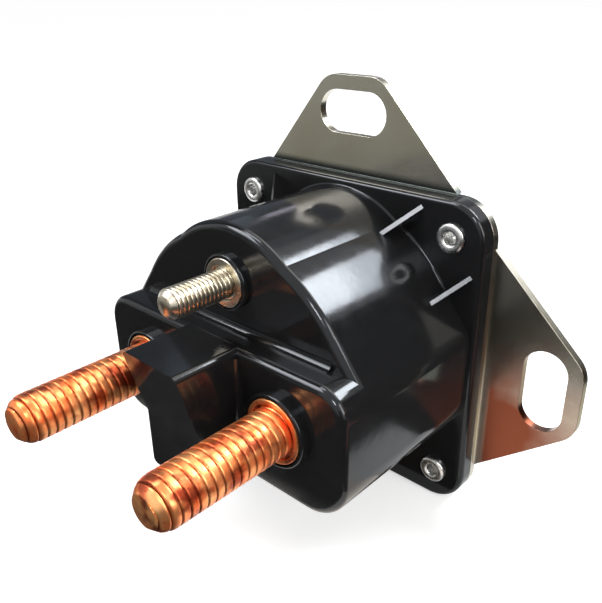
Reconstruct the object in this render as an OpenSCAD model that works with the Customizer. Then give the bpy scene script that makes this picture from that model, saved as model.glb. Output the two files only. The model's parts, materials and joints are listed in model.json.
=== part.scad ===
// Auxiliary relay: a solenoid switch in a moulded housing on a steel bracket.
// X runs right, Z up, and the studs point along -Y. The mounting plane of
// the bracket's ears is y = 0, and the flange is centred on the origin.
// Every module is drawn face-on: plan x and y, with z as depth ahead of the
// mounting plane. upright() then stands the drawing up.

/* [Flange] */
// Side of the square flange
flange_size = 56.4; // [54:0.2:60]
// Thickness of the moulded flange
flange_thickness = 3; // [2.5:0.1:4]
// Radius of the flange's corners
flange_corner_r = 6.5; // [4:0.5:8]
// Shank diameter of the tubular rivets
rivet_d = 3; // [2.6:0.1:3.4]

/* [Barrel] */
// How far the barrel's face stands ahead of the flange
barrel_depth = 27.3; // [26:0.1:32]
// Radius of the main arch of the barrel
barrel_r = 25.5; // [25.5:0.1:26]
// Radius of the narrower lobe on top
lobe_r = 18.3; // [18:0.1:19]
// Wall thickness round the coil
shell_wall = 2.4; // [2:0.1:2.6]

/* [Terminal block] */
// Width of the block that holds the power studs
block_width = 54.6; // [54:0.2:56]
// Height of the block
block_height = 22.2; // [22:0.1:23]
// Radius of the block's lower corners
block_corner_r = 7; // [5:0.5:8]
// Radius of the block's upper corners
block_top_r = 5; // [4:0.5:7]
// How far the block's face stands ahead of the barrel's face
block_lead = 4.9; // [4.5:0.1:6]
// Thickness of the barrier between the power studs
barrier_width = 12.9; // [10:0.1:13.5]
// How far the barrier stands ahead of the block
barrier_reach = 8; // [5:0.5:12]
// How far the barrier's nose leans out at the top
nose_reach = 3.3; // [1:0.1:4]

/* [Terminals] */
// Thread diameter of the power studs (5/16 inch)
power_d = 7.94; // [7.5:0.01:8]
// Distance between the power studs
power_spacing = 30.2; // [29:0.1:31]
// How far the power studs stand ahead of the block
power_length = 24; // [18:0.5:30]
// How much further the left power stud stands out
left_extra = 1.85; // [0:0.05:3]
// Thread diameter of the coil stud (number 10)
coil_stud_d = 4.83; // [4:0.01:5]
// How far the coil stud stands ahead of the barrel
coil_stud_length = 12.2; // [9:0.1:16]

/* [Bracket] */
// Sheet thickness of the bracket
plate_thickness = 1.5; // [1.2:0.1:2]
// How far the ears step back behind the plate
ear_step = 0.75; // [0.5:0.05:1]
// Height of each ear's tip above the flange's centre
ear_reach = 45; // [43:0.5:50]
// How far each slot's centre is below its ear's tip
slot_inset = 6.2; // [5.8:0.1:7]
// Length of each slot
slot_length = 14.4; // [12:0.1:15]
// Width of each slot
slot_width = 7.4; // [6.5:0.1:7.6]

/* [Magnet] */
// Height of the plunger's axis above the power studs
coil_rise = 4.5; // [4.2:0.1:5]
// Radius of the plunger
plunger_r = 4.7; // [4:0.1:5]
// Stroke of the plunger
stroke = 2.2; // [1.8:0.1:2.4]
// Gap of the open contacts
contact_gap = 1.7; // [1.2:0.1:1.7]

/* [Hidden] */
$fn = 64;
// Drawn past a face so that a cut goes clean through it
cut = 1;
// Radial running clearance of a sliding fit
run = 0.05;
// Gap beside a piece that is only guided
loose = 0.2;

flange_half = flange_size / 2;
rivet_at = flange_half - 5.85;
lobe_rise = flange_half - lobe_r - 1.35;
block_half = block_width / 2;
block_top = 9.8;
block_bottom = block_top - block_height;

// Each ear's tip and slot sit a little off the flange's middle
ear_shift = -1;
// Half the width of each ear at its foot
ear_foot = flange_half - 7.45;
slot_reach = ear_reach - slot_inset;
plate_front = ear_step + plate_thickness;
flange_front = plate_front + flange_thickness;
barrel_front = flange_front + barrel_depth;
block_front = barrel_front + block_lead;
barrier_front = block_front + barrier_reach;
edge_r = 1.3;
ledge_fillet = 1.4;
foot_fillet = 0.5;
barrier_fillet = 1;
boss_edge_r = 0.35;
face_wall = 2;
block_wall = 3.5;
barrel_ceiling = barrel_front - face_wall;
block_ceiling = block_front - block_wall;
arch_inner_r = barrel_r - shell_wall;
block_floor = block_bottom + shell_wall;
gasket_inset = 0.9;
gasket_thickness = 0.5;

rivet_head_r = rivet_d / 2 + 0.95;
rivet_bore_r = rivet_d / 2 - 0.4;
rivet_head_rise = 0.75;
rivet_tail_thickness = ear_step - 0.2;

power_r = power_d / 2;
power_shank_r = power_r + 0.35;
power_x = power_spacing / 2;
power_tip = block_front + power_length;
power_dog_length = 0.8;
power_boss_rise = 1.5;
power_collar_r = power_r + 1.25;
power_recess_r = power_collar_r + 0.25;
power_boss_r = power_recess_r + 0.5;
power_recess_floor = block_front + power_boss_rise - 0.8;
power_collar_thickness = 0.9;
power_collar_front = power_recess_floor + power_collar_thickness;
power_head_r = power_r + 1.6;
power_head_thickness = 3;
power_seal_thickness = 0.8;
power_contact_face = block_ceiling - power_seal_thickness - power_head_thickness;

coil_stud_r = coil_stud_d / 2;
coil_shank_r = coil_stud_r + 0.3;
coil_stud_inset = 7.95;
coil_stud_y = barrel_r - coil_stud_inset;
coil_stud_tip = barrel_front + coil_stud_length;
coil_boss_rise = 1;
coil_collar_r = coil_stud_r + 1.6;
coil_recess_r = coil_collar_r + 0.2;
coil_boss_r = coil_recess_r + 0.45;
coil_recess_floor = barrel_front + coil_boss_rise - 0.8;
coil_collar_thickness = 0.9;
coil_collar_front = coil_recess_floor + coil_collar_thickness;
coil_head_r = coil_stud_r + 1.2;
coil_head_thickness = 2;
coil_seal_thickness = 0.6;
coil_head_back = barrel_ceiling - coil_seal_thickness - coil_head_thickness;
lug_thickness = 0.5;

frame_thickness = 2;
pole_thickness = 1.8;
bobbin_back = plate_front + frame_thickness;
bobbin_r = coil_rise - block_floor - 1.5;
bobbin_flange = 1.2;
sleeve_wall = 0.4;
sleeve_bore_r = plunger_r + run;
sleeve_r = sleeve_bore_r + sleeve_wall;
bobbin_bore_r = sleeve_r + run;
bobbin_tube_r = bobbin_bore_r + 0.9;
winding_r = bobbin_r - 0.8;
frame_width = 2 * (bobbin_r + loose + frame_thickness);
frame_height = 2 * bobbin_r - 6;

bridge_thickness = 2;
bridge_front = power_contact_face - contact_gap;
bridge_back = bridge_front - bridge_thickness;
bridge_height = 11;
bushing_lip = 1;
bushing_back = bridge_back - bushing_lip;
contact_spring_length = 3.2;
seat_thickness = 0.6;
seat_back = bushing_back - contact_spring_length - seat_thickness;
pole_front = seat_back - 0.45;
pole_back = pole_front - pole_thickness;
rod_r = 1.5;
rod_groove_r = 1.1;
bushing_r = rod_r + 1.3;
bushing_lip_r = bushing_r + 1.4;
washer_r = bushing_r + 0.8;
washer_thickness = 0.8;
seat_r = rod_r + 1.9;
clip_thickness = 0.6;
clip_back = bridge_front + washer_thickness;
clip_front = clip_back + clip_thickness;
clip_r = rod_r + 1.5;
clip_pocket_r = washer_r + 0.4;
rod_tip = clip_front + 1.2;
clip_pocket_top = clip_front + stroke + 0.4;

bumper_thickness = 0.8;
plunger_back = plate_front + bumper_thickness + run;
core_length = 6;
core_back = pole_back - core_length;
plunger_front = core_back - stroke - 0.1;
core_spigot_r = plunger_r - 1.1;
rod_socket = 4;

spring_pocket_r = 3.2;
spring_pocket_depth = 5;
return_wire_r = 0.25;
return_spring_r = 2.3;
contact_wire_r = 0.28;
contact_spring_r = 2.4;

lead_r = 0.45;
lead_height = coil_rise + winding_r + 1.6;

housing_black = [0.05, 0.05, 0.06];
zinc = [0.62, 0.56, 0.42];
copper = [0.85, 0.42, 0.18];
silver = [0.75, 0.75, 0.73];
iron = [0.5, 0.5, 0.52];
nylon = [0.86, 0.83, 0.74];
seal_rubber = [0.12, 0.12, 0.12];
brass = [0.8, 0.66, 0.32];

// Turns a face-on drawing upright, with its depth running along -Y.
module upright() {
    rotate([90, 0, 0]) children();
}

// A straight round piece at (x, y) between two depths.
module rod(r, from, to, x = 0, y = 0) {
    translate([x, y, from]) cylinder(r = r, h = to - from);
}

// A flat ring at (x, y) between two depths.
module ring(outer, inner, from, to, x = 0, y = 0) {
    difference() {
        rod(outer, from, to, x, y);
        rod(inner, from - cut, to + cut, x, y);
    }
}

// Outline of a rectangle with round corners, by its edges.
module round_rect(left, bottom, right, top, r) {
    translate([left + r, bottom]) square([right - left - 2 * r, top - bottom]);
    translate([left, bottom + r]) square([right - left, top - bottom - 2 * r]);
    for (x = [left + r, right - r])
        for (y = [bottom + r, top - r])
            translate([x, y]) circle(r);
}

// Concave corner of two faces that meet at the drawing's origin.
module fillet_profile(r) {
    difference() {
        translate([-cut, -cut]) square(r + cut);
        translate([r, r]) circle(r, $fn = 32);
    }
}

// Concave ring at the foot of a drum.
module foot_ring(drum_r, depth, r) {
    rotate_extrude() intersection() {
        translate([drum_r, depth]) fillet_profile(r);
        translate([0, depth - cut]) square([drum_r + r, r + 2 * cut]);
    }
}

// Section through a slab whose two front corners are rounded.
module soft_profile(low, high, from, to, soft) {
    translate([low, from]) square([high - low, to - from - soft]);
    translate([low + soft, from]) square([high - low - 2 * soft, to - from]);
    for (x = [low + soft, high - soft])
        translate([x, to - soft]) circle(soft, $fn = 32);
}

// A drum whose front edge is rounded.
module soft_drum(r, from, to, soft) {
    rotate_extrude() intersection() {
        soft_profile(-r, r, from, to, soft);
        translate([0, from]) square([r, to - from]);
    }
}

// A bar along x between two heights, whose front edges are rounded.
module soft_bar(left, right, low, high, from, to, soft) {
    translate([left, 0, 0]) rotate([90, 0, 90])
        linear_extrude(right - left) soft_profile(low, high, from, to, soft);
}

// A slab whose front edge is rounded all the way round. Its lower corners have
// the radius r, and its upper corners the radius top_r.
module soft_slab(left, bottom, right, top, r, top_r, from, to, soft) {
    soft_bar(left + r, right - r, bottom, top, from, to, soft);
    if (top_r < r)
        soft_bar(left + top_r, right - top_r, bottom + r, top, from, to, soft);
    translate([0, top - top_r, 0]) rotate([90, 0, 0])
        linear_extrude(top - bottom - r - top_r) soft_profile(left, right, from, to, soft);
    for (x = [left + r, right - r])
        translate([x, bottom + r, 0]) soft_drum(r, from, to, soft);
    for (x = [left + top_r, right - top_r])
        translate([x, top - top_r, 0]) soft_drum(top_r, from, to, soft);
}

// Section of the housing drawn in by a margin: an arch over a rounded block.
module body_outline(margin) {
    difference() {
        circle(barrel_r - margin);
        translate([-flange_size, -flange_size])
            square([2 * flange_size, flange_size]);
    }
    round_rect(margin - block_half, block_bottom + margin, block_half - margin,
        block_top - margin, block_corner_r - margin);
}

// The barrel: an arch with a narrower lobe that rises out of its top.
module barrel() {
    difference() {
        union() {
            soft_drum(barrel_r, plate_front, barrel_front, edge_r);
            translate([0, lobe_rise, 0]) {
                soft_drum(lobe_r, plate_front, barrel_front, edge_r);
                foot_ring(lobe_r, flange_front, foot_fillet);
            }
            foot_ring(barrel_r, flange_front, foot_fillet);
        }
        translate([-flange_size, -flange_size, 0])
            cube([2 * flange_size, flange_size, barrel_front + cut]);
    }
}

// Flat cheeks that carry the arch down to the block's upper corners. They lie
// a hair below both curves, so that their ends run into them.
module cheeks() {
    centre = [block_half - block_top_r, block_top - block_top_r];
    tilt = atan2(centre[1], centre[0])
        + acos((barrel_r - block_top_r) / norm(centre));
    span = sqrt(pow(norm(centre), 2) - pow(barrel_r - block_top_r, 2));
    sink = 0.02;
    overlap = 0.3;
    soft = edge_r + 0.1;
    for (side = [0, 1])
        mirror([side, 0, 0]) rotate([0, 0, tilt - 90])
            soft_bar(-overlap, span + overlap, barrel_r - 12, barrel_r - sink,
                plate_front, barrel_front, soft);
}

// The barrier between the studs: its front leans out into a nose at the top.
module barrier() {
    lean_start = block_bottom + 10;
    side = barrier_width / 2;
    intersection() {
        translate([-side, 0, 0]) rotate([90, 0, 90]) linear_extrude(barrier_width)
            polygon([[block_bottom, block_front - cut], [block_top, block_front - cut],
                [block_top, barrier_front + nose_reach], [lean_start, barrier_front],
                [block_bottom, barrier_front]]);
        translate([0, 0, block_front - 2 * cut])
            linear_extrude(barrier_reach + nose_reach + 3 * cut)
            round_rect(-side, block_bottom, side, block_top, 1);
    }
}

// Concave corners between the barrier's sides and the block's face.
module barrier_feet() {
    for (side = [0, 1])
        mirror([side, 0, 0]) translate([barrier_width / 2, block_top - edge_r, block_front])
            rotate([90, 0, 0]) linear_extrude(block_height - 2 * edge_r)
            fillet_profile(barrier_fillet);
}

// Concave corner between the block's top and the barrel's face.
module ledge_corner() {
    half = block_half - block_top_r - edge_r;
    translate([-half, block_top, barrel_front]) rotate([90, 0, 90])
        linear_extrude(2 * half) fillet_profile(ledge_fillet);
}

// Three-cornered webs that brace the barrel beside the two upper rivets.
module gussets() {
    web_thickness = 0.7;
    web_offset = 6.9;
    web_height = 5.2;
    foot = barrel_r - 2;
    toe = 30.5;
    slope = (toe - barrel_r + 1) / web_height;
    for (side = [-1, 1])
        for (place = [-1, 1])
            rotate([0, 0, 90 - 45 * side])
                translate([0, place * web_offset + web_thickness / 2, 0])
                rotate([90, 0, 0]) linear_extrude(web_thickness)
                polygon([[foot, flange_front - cut], [toe + slope * cut, flange_front - cut],
                    [barrel_r - 1, flange_front + web_height],
                    [foot, flange_front + web_height]]);
}

module housing() {
    color(housing_black) upright() difference() {
        union() {
            soft_slab(-flange_half, -flange_half, flange_half, flange_half,
                flange_corner_r, flange_corner_r, plate_front, flange_front, 0.8);
            barrel();
            cheeks();
            soft_slab(-block_half, block_bottom, block_half, block_top,
                block_corner_r, block_top_r, plate_front, block_front, edge_r);
            ledge_corner();
            barrier();
            barrier_feet();
            gussets();
            for (x = [-power_x, power_x])
                translate([x, 0, 0]) soft_drum(power_boss_r, block_front - cut,
                    block_front + power_boss_rise, boss_edge_r);
            translate([0, coil_stud_y, 0]) soft_drum(coil_boss_r, barrel_front - cut,
                barrel_front + coil_boss_rise, boss_edge_r);
        }
        housing_cavity();
        for (x = [-power_x, power_x]) {
            rod(power_shank_r + run, block_ceiling - cut, block_front + 2 * cut, x);
            rod(power_recess_r, power_recess_floor, block_front + 2 * cut, x);
        }
        rod(coil_shank_r + run, barrel_ceiling - cut, coil_recess_floor + cut,
            0, coil_stud_y);
        rod(coil_recess_r, coil_recess_floor, barrel_front + 2 * cut, 0, coil_stud_y);
        rivet_places() rod(rivet_d / 2 + run, plate_front - cut, flange_front + cut);
    }
}

// Room for the magnet and the contacts, with a seat for the gasket behind.
module housing_cavity() {
    translate([0, 0, plate_front - cut]) linear_extrude(gasket_thickness + cut)
        body_outline(gasket_inset);
    translate([0, 0, plate_front]) linear_extrude(barrel_ceiling - plate_front)
        body_outline(shell_wall);
    translate([0, 0, barrel_ceiling - cut])
        linear_extrude(block_ceiling - barrel_ceiling + cut)
        round_rect(shell_wall - block_half, block_floor, block_half - shell_wall,
            block_top - shell_wall, block_corner_r - shell_wall);
    rod(spring_pocket_r, block_ceiling - cut, block_ceiling + spring_pocket_depth,
        0, coil_rise);
    rod(clip_pocket_r, barrel_ceiling - cut, clip_pocket_top, 0, coil_rise);
}

module rivet_places() {
    for (x = [-rivet_at, rivet_at])
        for (y = [-rivet_at, rivet_at])
            translate([x, y, 0]) children();
}

// Sheet profile of one ear, in height over depth: the ear steps back.
module ear_profile() {
    step_from = flange_half;
    step_to = step_from + 0.1;
    polygon([[0, ear_step], [step_from, ear_step], [step_to, 0],
        [ear_reach + cut, 0], [ear_reach + cut, plate_thickness],
        [step_to, plate_thickness], [step_from, plate_front], [0, plate_front]]);
}

// One side of the upper ear's outline: a slanted edge runs from its foot to
// where it touches the round corner above.
module ear_side(corner_x) {
    corner_r = 5;
    foot = [ear_foot, flange_half];
    corner = [corner_x, ear_reach - corner_r];
    reach = norm(corner - foot);
    slant = atan2(corner[1] - foot[1], corner[0] - foot[0]) - asin(corner_r / reach);
    edge = sqrt(reach * reach - corner_r * corner_r);
    touch = foot + edge * [cos(slant), sin(slant)];
    polygon([[-cut, 0], [foot[0], 0], foot, touch, [corner[0], ear_reach], [-cut, ear_reach]]);
    translate(corner) circle(corner_r);
}

module ear_outline() {
    tip_half = 3.5;
    ear_side(tip_half + ear_shift);
    mirror([1, 0]) ear_side(tip_half - ear_shift);
}

module ear() {
    difference() {
        intersection() {
            translate([-flange_half, 0, 0]) rotate([90, 0, 90])
                linear_extrude(flange_size) ear_profile();
            translate([0, 0, -cut]) linear_extrude(plate_front + 2 * cut) ear_outline();
        }
        ear_slot();
    }
}

module ear_slot() {
    end_x = (slot_length - slot_width) / 2;
    translate([ear_shift, slot_reach, -cut]) {
        for (x = [-end_x, end_x])
            translate([x, 0, 0]) cylinder(d = slot_width, h = plate_front + 2 * cut);
        translate([-end_x, -slot_width / 2, 0])
            cube([2 * end_x, slot_width, plate_front + 2 * cut]);
    }
}

module mounting_bracket() {
    color(zinc) upright() difference() {
        union() {
            translate([0, 0, ear_step]) linear_extrude(plate_thickness)
                round_rect(-flange_half, -flange_half, flange_half, flange_half,
                    flange_corner_r);
            ear();
            mirror([1, -1, 0]) ear();
        }
        rivet_places() rod(rivet_d / 2 + run, -cut, plate_front + cut);
    }
}

module flange_rivets() {
    color(silver) upright() rivet_places() difference() {
        union() {
            rod(rivet_d / 2, ear_step - rivet_tail_thickness,
                flange_front + rivet_head_rise / 2);
            rod(rivet_d / 2 + 0.9, ear_step - rivet_tail_thickness, ear_step);
            rod(rivet_head_r, flange_front, flange_front + rivet_head_rise / 2);
            translate([0, 0, flange_front + rivet_head_rise / 2]) rotate_extrude()
                translate([(rivet_head_r + rivet_bore_r) / 2, 0])
                scale([(rivet_head_r - rivet_bore_r) / rivet_head_rise, 1])
                circle(rivet_head_rise / 2, $fn = 24);
        }
        rod(rivet_bore_r, flange_front - 2, flange_front + 2 * cut);
    }
}

module cover_gasket() {
    color(seal_rubber) upright() translate([0, 0, plate_front])
        linear_extrude(gasket_thickness) difference() {
            body_outline(gasket_inset + 0.1);
            body_outline(shell_wall + 0.1);
        }
}

// A power stud: contact head and plain shank inside, plain thread envelope
// ahead of the collar, dog point at the tip.
module power_stud(extra) {
    root_r = power_r - 0.9;
    chamfer = 0.9;
    tip = power_tip + extra;
    thread_end = tip - power_dog_length - chamfer;
    rod(power_head_r, power_contact_face, power_contact_face + power_head_thickness);
    rod(power_shank_r, power_contact_face + power_head_thickness, power_collar_front);
    rod(power_r, power_collar_front, thread_end);
    translate([0, 0, thread_end]) cylinder(r1 = power_r, r2 = root_r, h = chamfer);
    rod(root_r, thread_end + chamfer / 2, tip - 0.6);
    translate([0, 0, tip - 0.6]) cylinder(r1 = root_r, r2 = root_r - 0.6, h = 0.6);
}

module power_stud_left() {
    color(copper) upright() translate([-power_x, 0, 0]) power_stud(left_extra);
}

module power_stud_right() {
    color(copper) upright() translate([power_x, 0, 0]) power_stud(0);
}

module power_collars() {
    color(copper) upright()
        for (x = [-power_x, power_x])
            ring(power_collar_r, power_shank_r + run, power_recess_floor,
                power_collar_front, x);
}

module power_stud_seals() {
    color(seal_rubber) upright()
        for (x = [-power_x, power_x])
            ring(power_head_r - 0.2, power_shank_r + run, block_ceiling - power_seal_thickness,
                block_ceiling, x);
}

module coil_stud() {
    root_r = coil_stud_r - 0.6;
    chamfer = 0.6;
    thread_end = coil_stud_tip - 2 * chamfer;
    color(silver) upright() translate([0, coil_stud_y, 0]) {
        rod(coil_head_r, coil_head_back, coil_head_back + coil_head_thickness);
        rod(coil_shank_r, coil_head_back + coil_head_thickness, coil_collar_front);
        rod(coil_stud_r, coil_collar_front, thread_end);
        translate([0, 0, thread_end]) cylinder(r1 = coil_stud_r, r2 = root_r, h = chamfer);
        rod(root_r, thread_end + chamfer / 2, coil_stud_tip);
    }
}

module coil_stud_collar() {
    color(silver) upright()
        ring(coil_collar_r, coil_shank_r + run, coil_recess_floor, coil_collar_front,
            0, coil_stud_y);
}

module coil_stud_seal() {
    color(seal_rubber) upright()
        ring(coil_head_r - 0.2, coil_shank_r + run, barrel_ceiling - coil_seal_thickness,
            barrel_ceiling, 0, coil_stud_y);
}

module coil_lug() {
    color(brass) upright()
        rod(coil_head_r - 0.2, coil_head_back - lug_thickness, coil_head_back, 0, coil_stud_y);
}

// Strap round the coil: a web against the plate and an arm on each side.
module magnet_frame() {
    half = frame_width / 2;
    color(iron) upright() translate([0, coil_rise, 0]) difference() {
        translate([-half, -frame_height / 2, plate_front])
            cube([frame_width, frame_height, pole_back - plate_front]);
        translate([frame_thickness - half, -frame_height / 2 - cut, bobbin_back])
            cube([frame_width - 2 * frame_thickness, frame_height + 2 * cut,
                pole_back - bobbin_back + cut]);
        rod(plunger_r + 0.5, plate_front - cut, bobbin_back + cut);
    }
}

module pole_plate() {
    half = frame_width / 2;
    color(iron) upright() translate([0, coil_rise, 0]) difference() {
        translate([-half, -frame_height / 2, pole_back])
            cube([frame_width, frame_height, pole_thickness]);
        rod(core_spigot_r + run, pole_back - cut, pole_front + cut);
    }
}

module fixed_core() {
    color(iron) upright() translate([0, coil_rise, 0]) difference() {
        union() {
            rod(sleeve_bore_r - run, core_back, pole_back);
            rod(core_spigot_r, pole_back - cut, pole_front);
        }
        rod(rod_r + 0.08, core_back - cut, pole_front + cut);
    }
}

module bobbin() {
    color(nylon) upright() translate([0, coil_rise, 0]) difference() {
        union() {
            rod(bobbin_r, bobbin_back, bobbin_back + bobbin_flange);
            rod(bobbin_tube_r, bobbin_back, pole_back);
            rod(bobbin_r, pole_back - bobbin_flange, pole_back);
        }
        rod(bobbin_bore_r, bobbin_back - cut, pole_back + cut);
    }
}

module coil_winding() {
    color(copper) upright()
        ring(winding_r, bobbin_tube_r + run, bobbin_back + bobbin_flange + run,
            pole_back - bobbin_flange - run, 0, coil_rise);
}

module bore_sleeve() {
    color(brass) upright()
        ring(sleeve_r, sleeve_bore_r, bobbin_back, pole_back, 0, coil_rise);
}

// Lead from the winding's top at one depth to an end at another depth.
module lead(start, end) {
    winding_top = coil_rise + winding_r + run;
    translate([0, winding_top, start]) rotate([-90, 0, 0])
        cylinder(r = lead_r, h = lead_height - winding_top, $fn = 24);
    translate([0, lead_height, start]) sphere(lead_r, $fn = 24);
    translate([0, lead_height, min(start, end)])
        cylinder(r = lead_r, h = abs(end - start), $fn = 24);
}

module feed_lead() {
    color(copper) upright() lead(pole_back - 4, coil_head_back - lug_thickness);
}

module ground_lead() {
    color(copper) upright() lead(bobbin_back + 4, plate_front);
}

module plunger_bumper() {
    color(seal_rubber) upright()
        rod(plunger_r - 0.3, plate_front, plate_front + bumper_thickness, 0, coil_rise);
}

// Coil spring with ground ends: the level section of a round wire's helix,
// drawn up with one full twist for each turn.
module coil_spring(mean_r, wire_r, turns, from, to) {
    pitch = (to - from) / turns;
    sides = 10;
    translate([0, coil_rise, from])
        linear_extrude(to - from, twist = -360 * turns, slices = 18 * turns, $fn = sides)
        polygon([for (k = [0 : sides - 1])
            let (t = 360 * k / sides, r = mean_r + wire_r * cos(t),
                a = 360 * wire_r * sin(t) / pitch)
            [r * cos(a), r * sin(a)]]);
}

module return_spring() {
    color(silver) upright()
        coil_spring(return_spring_r, return_wire_r, 5, clip_front,
            block_ceiling + spring_pocket_depth);
}

module plunger() {
    color(iron) upright() difference() {
        rod(plunger_r, plunger_back, plunger_front, 0, coil_rise);
        rod(rod_r + run, plunger_front - rod_socket, plunger_front + cut, 0, coil_rise);
    }
}

module plunger_rod() {
    color(brass) upright() {
        rod(rod_r, plunger_front - rod_socket, clip_back, 0, coil_rise);
        rod(rod_groove_r, clip_back - cut, clip_front + cut, 0, coil_rise);
        rod(rod_r, clip_front, rod_tip, 0, coil_rise);
    }
}

module spring_seat() {
    color(iron) upright()
        ring(seat_r, rod_r + run, seat_back, seat_back + seat_thickness, 0, coil_rise);
}

module contact_spring() {
    color(silver) upright()
        coil_spring(contact_spring_r, contact_wire_r, 2.5, seat_back + seat_thickness,
            bushing_back);
}

module clip_washer() {
    color(nylon) upright()
        ring(washer_r, rod_r + run, bridge_front, clip_back, 0, coil_rise);
}

// Clip in the rod's groove, open on one side.
module retaining_clip() {
    color(iron) upright() translate([0, coil_rise, 0]) difference() {
        ring(clip_r, rod_groove_r + run, clip_back, clip_front);
        translate([0, -rod_groove_r * 0.8, clip_back - cut])
            cube([clip_r + cut, rod_groove_r * 1.6, clip_thickness + 2 * cut]);
    }
}

module contact_bridge() {
    half = power_x + power_head_r - 0.5;
    color(copper) upright() translate([0, coil_rise, 0]) difference() {
        translate([0, 0, bridge_back]) linear_extrude(bridge_thickness)
            round_rect(-half, -bridge_height / 2, half, bridge_height / 2, 1.5);
        rod(bushing_r + run, bridge_back - cut, bridge_front + cut);
    }
}

module contact_bushing() {
    color(nylon) upright() translate([0, coil_rise, 0]) difference() {
        union() {
            rod(bushing_lip_r, bushing_back, bridge_back);
            rod(bushing_r, bushing_back, bridge_front);
        }
        rod(rod_r + run, bushing_back - cut, bridge_front + cut);
    }
}

housing();
mounting_bracket();
flange_rivets();
cover_gasket();
power_stud_left();
power_stud_right();
power_collars();
power_stud_seals();
coil_stud();
coil_stud_collar();
coil_stud_seal();
coil_lug();
magnet_frame();
pole_plate();
fixed_core();
bobbin();
coil_winding();
bore_sleeve();
feed_lead();
ground_lead();
plunger_bumper();
return_spring();
plunger();
plunger_rod();
spring_seat();
contact_spring();
clip_washer();
retaining_clip();
contact_bridge();
contact_bushing();
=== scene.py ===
import json
import math

import bmesh
import bpy
from mathutils import Matrix, Vector

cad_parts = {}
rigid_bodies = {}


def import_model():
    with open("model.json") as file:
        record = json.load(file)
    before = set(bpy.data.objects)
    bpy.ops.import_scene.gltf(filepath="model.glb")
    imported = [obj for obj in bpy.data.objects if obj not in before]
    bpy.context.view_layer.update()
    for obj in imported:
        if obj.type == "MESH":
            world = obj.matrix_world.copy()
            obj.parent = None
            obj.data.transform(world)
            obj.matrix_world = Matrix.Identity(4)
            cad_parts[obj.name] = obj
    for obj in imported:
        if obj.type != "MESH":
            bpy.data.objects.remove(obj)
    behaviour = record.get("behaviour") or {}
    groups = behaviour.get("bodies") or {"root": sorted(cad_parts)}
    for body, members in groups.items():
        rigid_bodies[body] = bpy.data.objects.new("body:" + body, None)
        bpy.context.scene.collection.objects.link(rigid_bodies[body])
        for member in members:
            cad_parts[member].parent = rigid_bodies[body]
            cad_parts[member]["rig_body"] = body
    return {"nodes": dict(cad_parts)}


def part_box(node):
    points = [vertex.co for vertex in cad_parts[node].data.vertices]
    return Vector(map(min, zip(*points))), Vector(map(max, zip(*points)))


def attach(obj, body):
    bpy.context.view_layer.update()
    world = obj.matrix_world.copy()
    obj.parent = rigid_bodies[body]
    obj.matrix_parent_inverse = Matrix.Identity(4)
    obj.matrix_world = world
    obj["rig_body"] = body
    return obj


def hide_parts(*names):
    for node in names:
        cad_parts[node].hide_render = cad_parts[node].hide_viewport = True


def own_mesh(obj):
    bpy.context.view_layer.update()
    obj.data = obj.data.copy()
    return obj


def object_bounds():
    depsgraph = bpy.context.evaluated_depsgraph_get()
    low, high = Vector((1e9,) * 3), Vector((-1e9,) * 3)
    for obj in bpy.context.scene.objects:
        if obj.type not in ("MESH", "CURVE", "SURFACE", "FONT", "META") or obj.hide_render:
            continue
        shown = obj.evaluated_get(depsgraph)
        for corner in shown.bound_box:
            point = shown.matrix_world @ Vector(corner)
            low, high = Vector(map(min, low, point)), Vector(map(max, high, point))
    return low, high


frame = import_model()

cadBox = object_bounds()
nodes = frame["nodes"]
scene = bpy.context.scene
print("stage: frame loaded")


# Small helpers for node trees and meshes

def addNode(tree, kind, inputs=None, **settings):
    made = tree.nodes.new(kind)
    for key, value in settings.items():
        setattr(made, key, value)
    for key, value in (inputs or {}).items():
        if isinstance(value, bpy.types.NodeSocket):
            tree.links.new(value, made.inputs[key])
        else:
            made.inputs[key].default_value = value
    return made


def calc(tree, operation, *values):
    return addNode(tree, "ShaderNodeMath", dict(enumerate(values)), operation=operation).outputs[0]


def newMaterial(name):
    material = bpy.data.materials.new(name)
    material.use_nodes = True
    return material, material.node_tree, material.node_tree.nodes["Principled BSDF"]


def objectPoint(tree, scale=(1, 1, 1)):
    coords = addNode(tree, "ShaderNodeTexCoord").outputs["Object"]
    return addNode(tree, "ShaderNodeMapping", {"Vector": coords, "Scale": scale}).outputs[0]


def noise(tree, point, scale, detail=3.0, roughness=0.5):
    return addNode(tree, "ShaderNodeTexNoise",
                   {"Vector": point, "Scale": scale, "Detail": detail,
                    "Roughness": roughness}).outputs[0]


def spread(tree, value, low, high, fromLow=0.3, fromHigh=0.7):
    return addNode(tree, "ShaderNodeMapRange",
                   {"Value": value, "From Min": fromLow, "From Max": fromHigh,
                    "To Min": low, "To Max": high}).outputs[0]


def blendColours(tree, factor, first, second):
    made = addNode(tree, "ShaderNodeMix", data_type="RGBA")
    for place, value in ((0, factor), (6, first), (7, second)):
        socket = made.inputs[place]
        if isinstance(value, bpy.types.NodeSocket):
            tree.links.new(value, socket)
        elif isinstance(value, float):
            socket.default_value = value
        else:
            socket.default_value = (*value, 1)
    return made.outputs[2]


def addBump(tree, shader, height, strength, distance):
    bump = addNode(tree, "ShaderNodeBump",
                   {"Height": height, "Strength": strength, "Distance": distance})
    tree.links.new(bump.outputs[0], shader.inputs["Normal"])


# Glossy black moulded phenolic, a little uneven in its gloss

phenolic = {
    "dark": (0.0070, 0.0071, 0.0075),
    "light": (0.0100, 0.0101, 0.0106),
    "cloud": 90,
    "gloss": (0.09, 0.17),
    "glossScale": 260,
    "specular": 0.40,
    "specularTint": (0.90, 0.94, 1.0, 1),
    "bumpScale": 700,
    "bump": 0.08,
    "bumpDepth": 0.0001,
}


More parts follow.
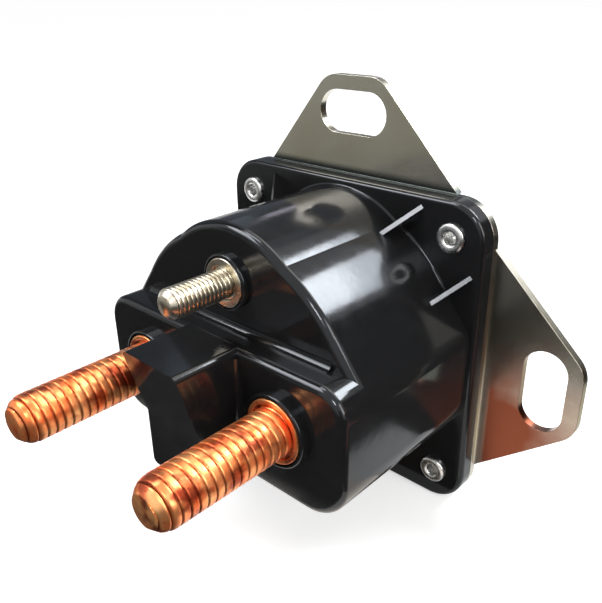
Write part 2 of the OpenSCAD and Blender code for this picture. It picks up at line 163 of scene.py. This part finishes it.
def makePhenolic():
    material, tree, shader = newMaterial("phenolic")
    point = objectPoint(tree)
    cloud = noise(tree, point, phenolic["cloud"], 4)
    tree.links.new(blendColours(tree, cloud, phenolic["dark"], phenolic["light"]),
                   shader.inputs["Base Color"])
    haze = noise(tree, point, phenolic["glossScale"], 5, 0.6)
    tree.links.new(spread(tree, haze, *phenolic["gloss"]), shader.inputs["Roughness"])
    shader.inputs["Specular IOR Level"].default_value = phenolic["specular"]
    shader.inputs["Specular Tint"].default_value = phenolic["specularTint"]
    addBump(tree, shader, noise(tree, point, phenolic["bumpScale"]), phenolic["bump"],
            phenolic["bumpDepth"])
    return material


# Plated and bare metals: a clouded colour, a fine grain and uneven gloss

metalBumpDepth = 0.00005
# groove: the colour of the painted shade deep in the thread grooves
metalLooks = {
    "studCopper": {"first": (0.95, 0.145, 0.028), "second": (1.0, 0.50, 0.20), "cloud": 300,
                   "gloss": (0.30, 0.36), "grain": 900, "bump": 0.015, "metal": 0.86,
                   "groove": (0.20, 0.035, 0.01)},
    "coilStudSteel": {"first": (0.46, 0.40, 0.29), "second": (0.78, 0.73, 0.62), "cloud": 380,
                      "gloss": (0.26, 0.33), "grain": 1200, "bump": 0.015,
                      "groove": (0.07, 0.055, 0.035)},
    "rivetSteel": {"first": (0.58, 0.58, 0.57), "second": (0.84, 0.84, 0.82), "cloud": 500,
                   "gloss": (0.20, 0.36), "grain": 1500, "bump": 0.08},
    "magnetIron": {"first": (0.36, 0.36, 0.37), "second": (0.52, 0.52, 0.53), "cloud": 160,
                   "gloss": (0.36, 0.55), "grain": 900, "bump": 0.10},
    "tabBrass": {"first": (0.62, 0.46, 0.18), "second": (0.80, 0.62, 0.28), "cloud": 200,
                 "gloss": (0.26, 0.42), "grain": 900, "bump": 0.06},
    "springSteel": {"first": (0.45, 0.45, 0.46), "second": (0.68, 0.68, 0.68), "cloud": 300,
                    "gloss": (0.22, 0.36), "grain": 1200, "bump": 0.05},
}
# Dark red patches of tarnish on the copper
copperStain = {"colour": (0.25, 0.022, 0.010), "scale": 300, "stretch": (1, 0.6, 1),
               "noise": (0.51, 0.63), "most": 0.85}


def ageCopper(tree, colour):
    patch = noise(tree, objectPoint(tree, copperStain["stretch"]), copperStain["scale"])
    return blendColours(tree, spread(tree, patch, 0, copperStain["most"], *copperStain["noise"]),
                        colour, copperStain["colour"])


def makeMetal(name):
    look = metalLooks[name]
    material, tree, shader = newMaterial(name)
    cloud = noise(tree, objectPoint(tree), look["cloud"], 4)
    colour = blendColours(tree, spread(tree, cloud, 0, 1), look["first"], look["second"])
    if name == "studCopper":
        colour = ageCopper(tree, colour)
    # Painted shade: the colour darkens towards the groove colour deep in the thread grooves
    if "groove" in look:
        groove = addNode(tree, "ShaderNodeAttribute", attribute_name="groove").outputs["Fac"]
        colour = blendColours(tree, groove, colour, look["groove"])
    tree.links.new(colour, shader.inputs["Base Color"])
    grain = noise(tree, objectPoint(tree), look["grain"], 3, 0.6)
    tree.links.new(spread(tree, grain, *look["gloss"]), shader.inputs["Roughness"])
    shader.inputs["Metallic"].default_value = look.get("metal", 1)
    addBump(tree, shader, grain, look["bump"], metalBumpDepth)
    return material


# Soft inner materials: nylon, rubber and the enamelled winding

softLooks = {
    "nylon": {"first": (0.72, 0.68, 0.57), "second": (0.82, 0.79, 0.70), "scale": 120,
              "gloss": (0.42, 0.58), "bump": 0.05, "bumpDepth": 0.0001},
    "sealRubber": {"first": (0.016, 0.016, 0.016), "second": (0.035, 0.034, 0.033), "scale": 400,
                   "gloss": (0.62, 0.85), "bump": 0.20, "bumpDepth": 0.0001},
}


def makeSoft(name):
    look = softLooks[name]
    material, tree, shader = newMaterial(name)
    grain = noise(tree, objectPoint(tree), look["scale"], 4)
    tree.links.new(blendColours(tree, grain, look["first"], look["second"]),
                   shader.inputs["Base Color"])
    tree.links.new(spread(tree, grain, *look["gloss"]), shader.inputs["Roughness"])
    addBump(tree, shader, grain, look["bump"], look["bumpDepth"])
    return material


winding = {
    "wire": 0.00045,
    "first": (0.45, 0.14, 0.04),
    "second": (0.66, 0.27, 0.09),
    "cloud": 300,
    "metal": 0.8,
    "gloss": 0.32,
    "bump": 0.8,
    "bumpDepth": 0.0002,
}


def makeWinding():
    material, tree, shader = newMaterial("windingCopper")
    point = objectPoint(tree)
    bands = addNode(tree, "ShaderNodeTexWave",
                    {"Vector": point, "Scale": math.pi / (10 * winding["wire"]), "Distortion": 0.2},
                    wave_type="BANDS", bands_direction="Y").outputs[1]
    cloud = noise(tree, point, winding["cloud"])
    tree.links.new(blendColours(tree, cloud, winding["first"], winding["second"]),
                   shader.inputs["Base Color"])
    shader.inputs["Metallic"].default_value = winding["metal"]
    shader.inputs["Roughness"].default_value = winding["gloss"]
    addBump(tree, shader, bands, winding["bump"], winding["bumpDepth"])
    return material


# Plated bracket: yellow-grey, clouded, with the grain of rolled sheet

bracketLook = {
    "grey": (0.62, 0.60, 0.54),
    "olive": (0.52, 0.48, 0.38),
    "cloud": 60,
    "red": (0.22, 0.066, 0.036),
    "redPlace": (0.032, 0.0, -0.011),
    "redReach": (0.006, 0.021),
    "redWander": 0.012,
    "wanderScale": 140,
    "earStart": (0.0284, 0.030),
    # foot, footHeight and footReach: a band of painted shade along the foot of the top ear
    "foot": (0.10, 0.11, 0.105),
    "footHeight": 0.0282,
    "footReach": (0.0004, 0.0016),
    "gloss": (0.21, 0.27),
    "grain": 700,
    "grainStretch": (1, 1, 8),
    "bump": 0.025,
}


def makeBracketMetal():
    material, tree, shader = newMaterial("platedSteel")
    point = objectPoint(tree)
    cloud = spread(tree, noise(tree, point, bracketLook["cloud"], 5, 0.6), 0, 1)
    plating = blendColours(tree, cloud, bracketLook["grey"], bracketLook["olive"])
    # The colour turns red towards the foot of the right ear
    away = addNode(tree, "ShaderNodeVectorMath", {0: point, 1: bracketLook["redPlace"]},
                   operation="DISTANCE").outputs["Value"]
    wander = calc(tree, "MULTIPLY_ADD", noise(tree, point, bracketLook["wanderScale"]),
                  bracketLook["redWander"], -bracketLook["redWander"] / 2)
    red = spread(tree, calc(tree, "ADD", away, wander), 1, 0, *bracketLook["redReach"])
    split = addNode(tree, "ShaderNodeSeparateXYZ", {"Vector": point}).outputs
    onEar = spread(tree, split["X"], 0, 1, *bracketLook["earStart"])
    plating = blendColours(tree, calc(tree, "MULTIPLY", red, onEar), plating, bracketLook["red"])
    # Painted shade: darker along the foot of the top ear, where it meets the flange
    above = calc(tree, "ABSOLUTE", calc(tree, "SUBTRACT", split["Z"], bracketLook["footHeight"]))
    paintedFootShade = spread(tree, above, 1, 0, *bracketLook["footReach"])
    tree.links.new(blendColours(tree, paintedFootShade, plating, bracketLook["foot"]),
                   shader.inputs["Base Color"])
    grain = noise(tree, objectPoint(tree, bracketLook["grainStretch"]), bracketLook["grain"], 3, 0.6)
    tree.links.new(spread(tree, grain, *bracketLook["gloss"]), shader.inputs["Roughness"])
    shader.inputs["Metallic"].default_value = 1
    addBump(tree, shader, grain, bracketLook["bump"], metalBumpDepth)
    return material


finishes = {
    "phenolic": makePhenolic(),
    "platedSteel": makeBracketMetal(),
    "windingCopper": makeWinding(),
}
finishes.update({name: makeMetal(name) for name in metalLooks})
finishes.update({name: makeSoft(name) for name in softLooks})

nodeFinish = {
    "housing": "phenolic", "mounting_bracket": "platedSteel", "flange_rivets": "rivetSteel",
    "cover_gasket": "sealRubber", "power_stud_left": "studCopper",
    "power_stud_right": "studCopper", "power_collars": "studCopper",
    "power_stud_seals": "sealRubber", "coil_stud": "coilStudSteel",
    "coil_stud_collar": "coilStudSteel", "coil_stud_seal": "sealRubber", "coil_lug": "tabBrass",
    "magnet_frame": "magnetIron", "pole_plate": "magnetIron", "fixed_core": "magnetIron",
    "bobbin": "nylon", "coil_winding": "windingCopper", "bore_sleeve": "tabBrass",
    "feed_lead": "windingCopper", "ground_lead": "windingCopper",
    "plunger_bumper": "sealRubber", "return_spring": "springSteel", "plunger": "magnetIron",
    "plunger_rod": "tabBrass", "spring_seat": "magnetIron", "contact_spring": "springSteel",
    "clip_washer": "nylon", "retaining_clip": "springSteel", "contact_bridge": "studCopper",
    "contact_bushing": "nylon",
}
for name, finish in nodeFinish.items():
    for materialSlot in nodes[name].material_slots:
        materialSlot.material = finishes[finish]
print("stage: materials made")


# Threaded studs: a lathe-like grid whose radius follows the thread's helix

mergeDistance = 0.000001
endMergeDistance = 0.000002
studSharpAngle = 48


def threadTree():
    tree = bpy.data.node_groups.new("threadedStud", "GeometryNodeTree")
    face = tree.interface
    face.new_socket("Geometry", in_out="OUTPUT", socket_type="NodeSocketGeometry")
    for name in ("Across", "Up", "Start", "Length", "Head Radius", "Head Length", "Shank Radius",
                 "Shank Length", "Major Radius", "Root Radius", "Pitch", "Tip Radius",
                 "Taper", "Chamfer", "Roundness", "Groove Shade"):
        face.new_socket(name, in_out="INPUT", socket_type="NodeSocketFloat")
    face.new_socket("Around", in_out="INPUT", socket_type="NodeSocketInt")
    face.new_socket("Rows", in_out="INPUT", socket_type="NodeSocketInt")
    face.new_socket("Material", in_out="INPUT", socket_type="NodeSocketMaterial")
    given = tree.nodes.new("NodeGroupInput").outputs
    grid = addNode(tree, "GeometryNodeMeshGrid",
                   {"Size X": 1.0, "Size Y": 1.0, "Vertices X": given["Around"],
                    "Vertices Y": given["Rows"]})
    place = addNode(tree, "GeometryNodeInputPosition").outputs[0]
    split = addNode(tree, "ShaderNodeSeparateXYZ", {"Vector": place}).outputs
    around = calc(tree, "ADD", split["X"], 0.5)
    along = calc(tree, "ADD", split["Y"], 0.5)
    # One row past each end is pulled to the middle, so that both ends are closed flat
    step = calc(tree, "DIVIDE", given["Length"], calc(tree, "SUBTRACT", given["Rows"], 3.0))
    stretched = calc(tree, "MULTIPLY", along, calc(tree, "MULTIPLY_ADD", step, 2.0, given["Length"]))
    wanted = calc(tree, "SUBTRACT", stretched, step)
    depth = calc(tree, "MINIMUM", calc(tree, "MAXIMUM", wanted, 0.0), given["Length"])
    phase = calc(tree, "FRACT", calc(tree, "SUBTRACT",
                                     calc(tree, "DIVIDE", depth, given["Pitch"]), around))
    # The stud narrows to its tip, where the grooves are deeper
    fromTip = calc(tree, "SUBTRACT", given["Length"], depth)
    near = calc(tree, "MAXIMUM", calc(tree, "SUBTRACT", 1.0,
                                      calc(tree, "DIVIDE", fromTip, given["Taper"])), 0.0)
    narrowing = calc(tree, "MULTIPLY", calc(tree, "POWER", near, 2.0),
                     calc(tree, "SUBTRACT", given["Major Radius"], given["Tip Radius"]))
    # Round crests with a narrow groove between them
    offCrest = calc(tree, "ABSOLUTE", calc(tree, "MULTIPLY_ADD", phase, 2.0, -1.0))
    height = calc(tree, "SUBTRACT", given["Major Radius"], given["Root Radius"])
    groove = calc(tree, "MULTIPLY", calc(tree, "POWER", offCrest, given["Roundness"]),
                  calc(tree, "MULTIPLY", height, calc(tree, "ADD", near, 1.0)))
    threaded = calc(tree, "SUBTRACT", calc(tree, "SUBTRACT", given["Major Radius"], groove),
                    narrowing)
    nose = calc(tree, "ADD", fromTip, calc(tree, "SUBTRACT", given["Tip Radius"], given["Chamfer"]))
    radius = calc(tree, "MINIMUM", threaded, nose)
    inShank = calc(tree, "LESS_THAN", depth, given["Shank Length"])
    radius = addNode(tree, "ShaderNodeMix",
                     {0: inShank, 2: radius, 3: given["Shank Radius"]}).outputs[0]
    inHead = calc(tree, "LESS_THAN", depth, given["Head Length"])
    radius = addNode(tree, "ShaderNodeMix",
                     {0: inHead, 2: radius, 3: given["Head Radius"]}).outputs[0]
    half = calc(tree, "MULTIPLY", step, 0.5)
    inside = calc(tree, "MULTIPLY",
                  calc(tree, "GREATER_THAN", wanted, calc(tree, "MULTIPLY", half, -1.0)),
                  calc(tree, "LESS_THAN", wanted, calc(tree, "ADD", given["Length"], half)))
    radius = calc(tree, "MULTIPLY", radius, inside)
    angle = calc(tree, "MULTIPLY", around, 2 * math.pi)
    x = calc(tree, "MULTIPLY_ADD", calc(tree, "COSINE", angle), radius, given["Across"])
    z = calc(tree, "MULTIPLY_ADD", calc(tree, "SINE", angle), radius, given["Up"])
    y = calc(tree, "SUBTRACT", calc(tree, "MULTIPLY", depth, -1.0), given["Start"])
    point = addNode(tree, "ShaderNodeCombineXYZ", {"X": x, "Y": y, "Z": z}).outputs[0]
    # How deep in a groove a point lies, for the painted shade in the grooves
    sunk = calc(tree, "DIVIDE", groove, height)
    inThread = calc(tree, "MULTIPLY", calc(tree, "GREATER_THAN", depth, given["Shank Length"]),
                    calc(tree, "GREATER_THAN", fromTip, given["Chamfer"]))
    grooveShade = calc(tree, "MULTIPLY", calc(tree, "MULTIPLY", sunk, inThread), given["Groove Shade"])
    marked = addNode(tree, "GeometryNodeStoreNamedAttribute",
                     {"Geometry": grid.outputs[0], "Name": "groove", "Value": grooveShade},
                     data_type="FLOAT", domain="POINT")
    moved = addNode(tree, "GeometryNodeSetPosition",
                    {"Geometry": marked.outputs[0], "Position": point})
    closed = addNode(tree, "GeometryNodeMergeByDistance",
                     {"Geometry": moved.outputs[0], "Distance": endMergeDistance})
    real = addNode(tree, "GeometryNodeRealizeInstances", {"Geometry": closed.outputs[0]})
    painted = addNode(tree, "GeometryNodeSetMaterial",
                      {"Geometry": real.outputs[0], "Material": given["Material"]})
    result = tree.nodes.new("NodeGroupOutput")
    tree.links.new(painted.outputs[0], result.inputs[0])
    return tree


def growMesh(name, tree, settings):
    holder = bpy.data.objects.new(name + "Holder", bpy.data.meshes.new(name + "Holder"))
    scene.collection.objects.link(holder)
    modifier = holder.modifiers.new("build", "NODES")
    modifier.node_group = tree
    for item in tree.interface.items_tree:
        if item.in_out == "INPUT" and item.name in settings:
            modifier[item.identifier] = settings[item.name]
    holder.update_tag()
    bpy.context.view_layer.update()
    graph = bpy.context.evaluated_depsgraph_get()
    mesh = bpy.data.meshes.new_from_object(holder.evaluated_get(graph))
    bpy.data.objects.remove(holder)
    mesh.name = name
    work = bmesh.new()
    work.from_mesh(mesh)
    bmesh.ops.remove_doubles(work, verts=work.verts, dist=mergeDistance)
    bmesh.ops.recalc_face_normals(work, faces=work.faces)
    work.to_mesh(mesh)
    work.free()
    mesh.shade_smooth()
    mesh.set_sharp_from_angle(angle=math.radians(studSharpAngle))
    piece = bpy.data.objects.new(name, mesh)
    scene.collection.objects.link(piece)
    return piece


# Radii and lengths in metres; the ends and middles come from the imported studs

# Groove Shade sets how strongly painted shade darkens the thread grooves
powerStud = {
    "Head Radius": 0.00557, "Head Length": 0.003, "Shank Radius": 0.00432,
    "Shank Length": 0.0085, "Major Radius": 0.00397, "Root Radius": 0.00374,
    "Pitch": 0.001411, "Tip Radius": 0.0027, "Taper": 0.0030, "Chamfer": 0.0003,
    "Roundness": 6.0, "Groove Shade": 0.8, "Around": 97, "Rows": 560,
}
coilStud = {
    "Head Radius": 0.003615, "Head Length": 0.002, "Shank Radius": 0.002715,
    "Shank Length": 0.0054, "Major Radius": 0.002415, "Root Radius": 0.00226,
    "Pitch": 0.000794, "Tip Radius": 0.0019, "Taper": 0.0011, "Chamfer": 0.0003,
    "Roundness": 4.5, "Groove Shade": 0.8, "Around": 81, "Rows": 380,
}


def makeStud(pieceName, node, sizes, finish):
    low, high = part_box(node)
    settings = dict(sizes)
    settings["Across"] = (low.x + high.x) / 2
    settings["Up"] = (low.z + high.z) / 2
    settings["Start"] = -high.y
    settings["Length"] = high.y - low.y
    settings["Material"] = finishes[finish]
    piece = growMesh(pieceName, studTree, settings)
    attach(piece, "relay_body")
    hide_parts(node)
    return piece


studTree = threadTree()
makeStud("powerStudLeft", "power_stud_left", powerStud, "studCopper")
makeStud("powerStudRight", "power_stud_right", powerStud, "studCopper")
makeStud("coilStud", "coil_stud", coilStud, "coilStudSteel")
print("stage: studs threaded")


# Softened copies of CAD pieces: merged, flats joined, edges bevelled. The housing has its
# roundings in the CAD already; its crease is the line where lobe and arch meet, as |x| and z

flatAngle = 0.6
creaseReach = 0.0001
bevelSteps = 3
softening = {
    "housing": {"sharpAngle": 30, "crease": (0.01158, 0.022717)},
    "mounting_bracket": {"sharpAngle": 35, "bevel": 0.00012},
    "power_collars": {"sharpAngle": 35, "bevel": 0.00025},
    "coil_stud_collar": {"sharpAngle": 35, "bevel": 0.0002},
}


def onCrease(edge, crease):
    return all(math.hypot(abs(vert.co.x) - crease[0], vert.co.z - crease[1]) < creaseReach
               for vert in edge.verts)


def softenedCopy(pieceName, node):
    wanted = softening[node]
    sharpAngle = math.radians(wanted["sharpAngle"])
    work = bmesh.new()
    work.from_mesh(nodes[node].data)
    bmesh.ops.remove_doubles(work, verts=work.verts, dist=mergeDistance)
    bmesh.ops.dissolve_limit(work, angle_limit=math.radians(flatAngle), verts=work.verts,
                             edges=work.edges)
    for face in work.faces:
        face.smooth = True
    for edge in work.edges:
        creased = "crease" in wanted and onCrease(edge, wanted["crease"])
        edge.smooth = edge.calc_face_angle(0) <= sharpAngle and not creased
    mesh = bpy.data.meshes.new(pieceName)
    work.to_mesh(mesh)
    work.free()
    mesh.materials.append(finishes[nodeFinish[node]])
    piece = bpy.data.objects.new(pieceName, mesh)
    scene.collection.objects.link(piece)
    if "bevel" in wanted:
        edge = piece.modifiers.new("edge", "BEVEL")
        edge.width = wanted["bevel"]
        edge.segments = bevelSteps
        edge.limit_method = "ANGLE"
        edge.angle_limit = sharpAngle
        edge.harden_normals = True
    else:
        even = piece.modifiers.new("even", "WEIGHTED_NORMAL")
        even.keep_sharp = True
    bpy.context.view_layer.update()
    graph = bpy.context.evaluated_depsgraph_get()
    done = bpy.data.meshes.new_from_object(piece.evaluated_get(graph))
    piece.modifiers.clear()
    piece.data = done
    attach(piece, frame["nodes"][node]["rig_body"])
    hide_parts(node)
    return piece


softenedCopy("housingShell", "housing")
softenedCopy("bracketPlate", "mounting_bracket")
softenedCopy("powerCollars", "power_collars")
softenedCopy("coilStudCollar", "coil_stud_collar")
print("stage: castings softened")


# Each spring is given a mesh of its own; the table lists its joint, travel and fixed end, at y

springs = {
    "return_spring": {"joint": "plunger_slide", "travel": 0.0022, "fixedEnd": -0.03895},
    "contact_spring": {"joint": "contact_overtravel", "travel": 0.0005, "fixedEnd": -0.02225},
}


def pressSpring(name, joint, travel, fixedEnd):
    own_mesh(nodes[name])


for name, spring in springs.items():
    pressSpring(name, **spring)
print("stage: springs seated")


# Camera, from points of the photograph fitted to the studs, flange and block

cameraView = {
    "place": (0.0758185, -0.0969298, 0.0590012),
    "target": (0.0014301, -0.0177479, 0.0094400),
    "roll": -0.9736,
    "lens": 41.469,
    "sensor": 36.0,
    "clipStart": 0.001,
}


def makeCamera():
    data = bpy.data.cameras.new("camera")
    data.sensor_width = cameraView["sensor"]
    data.lens = cameraView["lens"]
    data.clip_start = cameraView["clipStart"]
    camera = bpy.data.objects.new("camera", data)
    scene.collection.objects.link(camera)
    place = Vector(cameraView["place"])
    aim = (Vector(cameraView["target"]) - place).to_track_quat("-Z", "Y").to_matrix().to_4x4()
    roll = Matrix.Rotation(math.radians(cameraView["roll"]), 4, "Z")
    camera.matrix_world = Matrix.Translation(place) @ aim @ roll
    scene.camera = camera


makeCamera()


# Studio: a white floor that keeps the shadow, a white surround, soft lamps, and cards that only
# reflections see. Lamps and hung cards are placed by direction from the middle: turn is from +X
# towards +Z, and lean is from there towards +Y

studio = {
    "floorSize": 16.0,
    "floorWhite": 0.80,
    "floorGlow": 0.55,
    "mirroredGlow": 0.10,
    "middle": (0.012, -0.03, 0.018),
    "fill": 0.55,
}
lamps = {
    "topSoftbox": {"turn": 64, "lean": 39, "reach": 0.45, "size": (0.180, 0.12),
                   "watts": 1.55, "colour": (0.93, 0.97, 1.0)},
    "sideSoftbox": {"turn": 26, "lean": -3, "reach": 0.66, "size": (0.40, 0.25),
                    "watts": 2.0, "colour": (1.0, 0.99, 0.97)},
    "frontSoftbox": {"turn": 126, "lean": -31, "reach": 0.66, "size": (0.30, 0.30),
                     "watts": 3.0, "colour": (1.0, 1.0, 1.0)},
}
hungCards = {
    "fadeCard": {"turn": 64, "lean": 50.0, "reach": 0.47, "size": (0.180, 0.055),
                 "tone": (8.0, 8.5, 9.0)},
    "lineCard": {"turn": 54, "lean": -44, "reach": 0.50, "size": (0.10, 0.10),
                 "tone": (22.0, 22.0, 22.0)},
    "crownCard": {"turn": 90, "lean": 26.5, "reach": 0.55, "size": (0.60, 0.225),
                  "tone": (2.8, 2.7, 2.45)},
    "duskCard": {"turn": 122, "lean": 46, "reach": 0.55, "size": (0.22, 0.13),
                 "tone": (0.19, 0.20, 0.22)},
    "lowCrownCard": {"turn": 82, "lean": 20, "reach": 0.54, "size": (0.50, 0.085),
                     "tone": (6.6, 6.4, 5.9)},
    "streakCard": {"turn": 144, "lean": 47.5, "reach": 0.53, "size": (0.050, 0.130),
                   "tone": (1.7, 1.6, 1.9)},
    "ledgeCard": {"turn": 146, "lean": 33.5, "reach": 0.55, "size": (0.20, 0.12),
                  "tone": (0.36, 0.43, 0.50)},
    "earFootCard": {"turn": 164, "lean": -50, "reach": 0.59, "size": (0.20, 0.26),
                    "tone": (0.20, 0.23, 0.22)},
    "backLeftCard": {"turn": 158, "lean": 50, "reach": 0.60, "size": (0.30, 0.20),
                     "tone": (0.12, 0.14, 0.13)},
    "frontLeftCard": {"turn": 141, "lean": -4, "reach": 0.60, "size": (0.51, 0.28),
                      "tone": (0.05, 0.05, 0.06)},
    "rimHighCard": {"turn": 108, "lean": -7, "reach": 0.60, "size": (0.20, 0.18),
                    "tone": (8.0, 8.2, 8.6)},
    "rimLowCard": {"turn": 132, "lean": -38, "reach": 0.60, "size": (0.20, 0.08),
                   "tone": (7.0, 7.2, 7.6)},
    "frontRightCard": {"turn": 3, "lean": -40, "reach": 0.60, "size": (0.30, 0.30),
                       "tone": (0.05, 0.05, 0.05)},
}
cards = {
    "frontCard": {"corner": (-0.90, -0.90, -0.0281), "first": (1.0, 0, 0), "second": (0, 0.85, 0),
                  "tone": (0.34, 0.34, 0.31)},
    "nearCard": {"corner": (-0.16, -0.17, -0.0280), "first": (0.76, 0, 0),
                 "second": (0, 0.117, 0), "tone": (0.05, 0.05, 0.05)},
    "underCardLeft": {"corner": (-0.045, -0.0525, -0.0279), "first": (0.050, 0, 0),
                      "second": (0, 0.018, 0), "tone": (0.90, 0.84, 0.78)},
    "underCardRight": {"corner": (0.009, -0.0435, -0.0279), "first": (0.037, 0, 0),
                       "second": (0.0173, 0.0315, 0), "tone": (1.25, 1.15, 1.05)},
    "flangeCard": {"corner": (-0.030, -0.030, -0.0278), "first": (0.044, 0, 0),
                   "second": (0.012, 0.022, 0), "tone": (0.04, 0.03, 0.02)},
    "wedgeCard": {"corner": (0.030, 0.008, -0.0279), "first": (0.021, 0, 0),
                  "second": (0, 0.013, 0), "tone": (0.03, 0.03, 0.03)},
    "stripCard": {"corner": (0.036, 0.022, -0.0276), "first": (0.029, 0, 0),
                  "second": (0, 0.053, 0), "tone": (0.85, 0.88, 0.72)},
    "copperCard": {"corner": (0.066, -0.040, -0.0276), "first": (0.25, 0.13, 0),
                   "second": (0, 0.050, 0), "tone": (0.60, 0.24, 0.18)},
    "sideCard": {"corner": (0.051, -0.50, -0.0279), "first": (0.60, 0, 0), "second": (0, 1.1, 0),
                 "tone": (0.02, 0.02, 0.02)},
    "leftCard": {"corner": (-0.40, -0.10, 0.035), "first": (0, 0.9, 0), "second": (0, 0, 0.32),
                 "tone": (0.14, 0.16, 0.19)},
    "rightLowCard": {"corner": (0.40, 0.0, -0.0279), "first": (0, 0.95, 0),
                     "second": (0, 0, 0.11), "tone": (0.05, 0.03, 0.02)},
    "rightTallCard": {"corner": (0.40, 0.28, 0.082), "first": (0, 0.67, 0),
                      "second": (0, 0, 0.28), "tone": (0.02, 0.02, 0.02)},
    "warmCard": {"corner": (0.40, 0.03, 0.082), "first": (0, 0.25, 0), "second": (0, 0, 0.20),
                 "tone": (0.90, 0.62, 0.40)},
    "ceilingCard": {"corner": (-1.60, -0.20, 0.90), "first": (1.55, 0, 0), "second": (0, 1.9, 0),
                    "tone": (0.42, 0.44, 0.48)},
}


def seenRay(tree):
    path = addNode(tree, "ShaderNodeLightPath").outputs
    either = calc(tree, "MAXIMUM", path["Is Camera Ray"], path["Is Glossy Ray"])
    return calc(tree, "MAXIMUM", either, path["Is Transmission Ray"])


def makeWorld():
    world = bpy.data.worlds.new("studio")
    scene.world = world
    world.use_nodes = True
    tree = world.node_tree
    background = tree.nodes["Background"]
    background.inputs["Color"].default_value = (1, 1, 1, 1)
    tree.links.new(spread(tree, seenRay(tree), studio["fill"], 1.0, 0, 1),
                   background.inputs["Strength"])


def makeSheet(name, corner, first, second):
    corner, first, second = Vector(corner), Vector(first), Vector(second)
    mesh = bpy.data.meshes.new(name)
    mesh.from_pydata([corner, corner + first, corner + first + second, corner + second], [],
                     [(0, 1, 2, 3)])
    sheet = bpy.data.objects.new(name, mesh)
    scene.collection.objects.link(sheet)
    material = bpy.data.materials.new(name)
    material.use_nodes = True
    material.node_tree.nodes.clear()
    mesh.materials.append(material)
    return sheet, material.node_tree


def makeFloor():
    size = studio["floorSize"]
    corner = (-size / 2, -size / 2, cadBox[0].z)
    floor, tree = makeSheet("floor", corner, (size, 0, 0), (0, size, 0))
    white = studio["floorWhite"]
    matt = addNode(tree, "ShaderNodeBsdfDiffuse", {"Color": (white, white, white, 1)})
    path = addNode(tree, "ShaderNodeLightPath").outputs
    mirrored = calc(tree, "MULTIPLY", path["Is Glossy Ray"], studio["mirroredGlow"])
    seen = calc(tree, "MAXIMUM", path["Is Camera Ray"], path["Is Transmission Ray"])
    glow = addNode(tree, "ShaderNodeEmission",
                   {"Color": (1, 1, 1, 1),
                    "Strength": calc(tree, "MULTIPLY_ADD", seen, studio["floorGlow"], mirrored)})
    both = addNode(tree, "ShaderNodeAddShader", {0: matt.outputs[0], 1: glow.outputs[0]})
    end = addNode(tree, "ShaderNodeOutputMaterial")
    tree.links.new(both.outputs[0], end.inputs["Surface"])


def hung(turn, lean, reach):
    turn, lean = math.radians(turn), math.radians(lean)
    away = Vector((math.cos(turn) * math.cos(lean), math.sin(lean),
                   math.sin(turn) * math.cos(lean)))
    along = Vector((math.sin(turn), 0, -math.cos(turn)))
    frameOf = Matrix((along, away.cross(along), away)).transposed().to_4x4()
    return Matrix.Translation(Vector(studio["middle"]) + reach * away) @ frameOf


def makeCard(name, corner, first, second, tone):
    sheet, tree = makeSheet(name, corner, first, second)
    glow = addNode(tree, "ShaderNodeEmission", {"Color": (*tone, 1), "Strength": 1.0})
    end = addNode(tree, "ShaderNodeOutputMaterial")
    tree.links.new(glow.outputs[0], end.inputs["Surface"])
    sheet.visible_camera = False
    sheet.visible_diffuse = False
    sheet.visible_shadow = False
    sheet.visible_transmission = False


def makeCards():
    for name, card in cards.items():
        makeCard(name, card["corner"], card["first"], card["second"], card["tone"])
    for name, card in hungCards.items():
        spot = hung(card["turn"], card["lean"], card["reach"])
        first, second = (spot.col[k].to_3d() * card["size"][k] for k in (0, 1))
        makeCard(name, spot.translation - first / 2 - second / 2, first, second, card["tone"])


def makeLamps():
    for name, lamp in lamps.items():
        data = bpy.data.lights.new(name, "AREA")
        data.shape = "RECTANGLE"
        data.size, data.size_y = lamp["size"]
        data.energy = lamp["watts"]
        data.color = lamp["colour"]
        piece = bpy.data.objects.new(name, data)
        scene.collection.objects.link(piece)
        piece.matrix_world = hung(lamp["turn"], lamp["lean"], lamp["reach"])


makeWorld()
makeFloor()
makeCards()
makeLamps()
scene.view_settings.view_transform = "Standard"
print("stage: camera and studio set")
